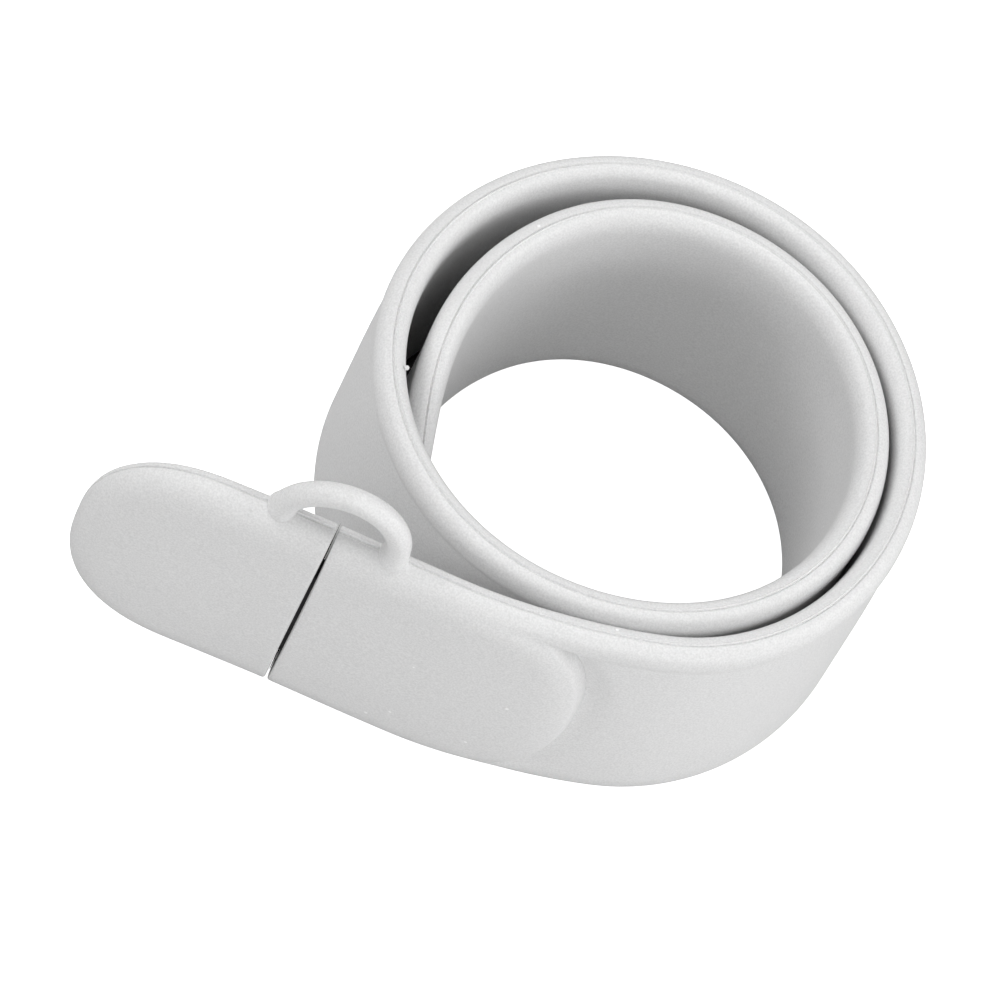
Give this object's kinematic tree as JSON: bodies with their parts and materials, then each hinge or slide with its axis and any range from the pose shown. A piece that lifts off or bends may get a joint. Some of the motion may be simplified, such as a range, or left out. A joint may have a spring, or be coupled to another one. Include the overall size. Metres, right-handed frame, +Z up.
{
  "type": "slap bracelet",
  "caption": "Silicone slap bracelet wound nearly twice round, with beaded rims and a flat drive housing at its outer end under a cap on a looped tether.",
  "frame": {"origin": "on the surface it lies on, at the middle of the wrist opening", "axes": "+Z up along the coil's axis; the housing and its cap lie on the -Y side and run along X, with the cap's tip to -X"},
  "size_m": [0.0536, 0.0421, 0.0276],
  "materials": {
    "silicone": "satin white, moulded",
    "plug_board": "black, moulded over the board"
  },
  "bodies": {
    "root": {"band": "silicone", "cap": "silicone", "cap_tether": "silicone", "plug": "plug_board"}
  },
  "joints": []
}
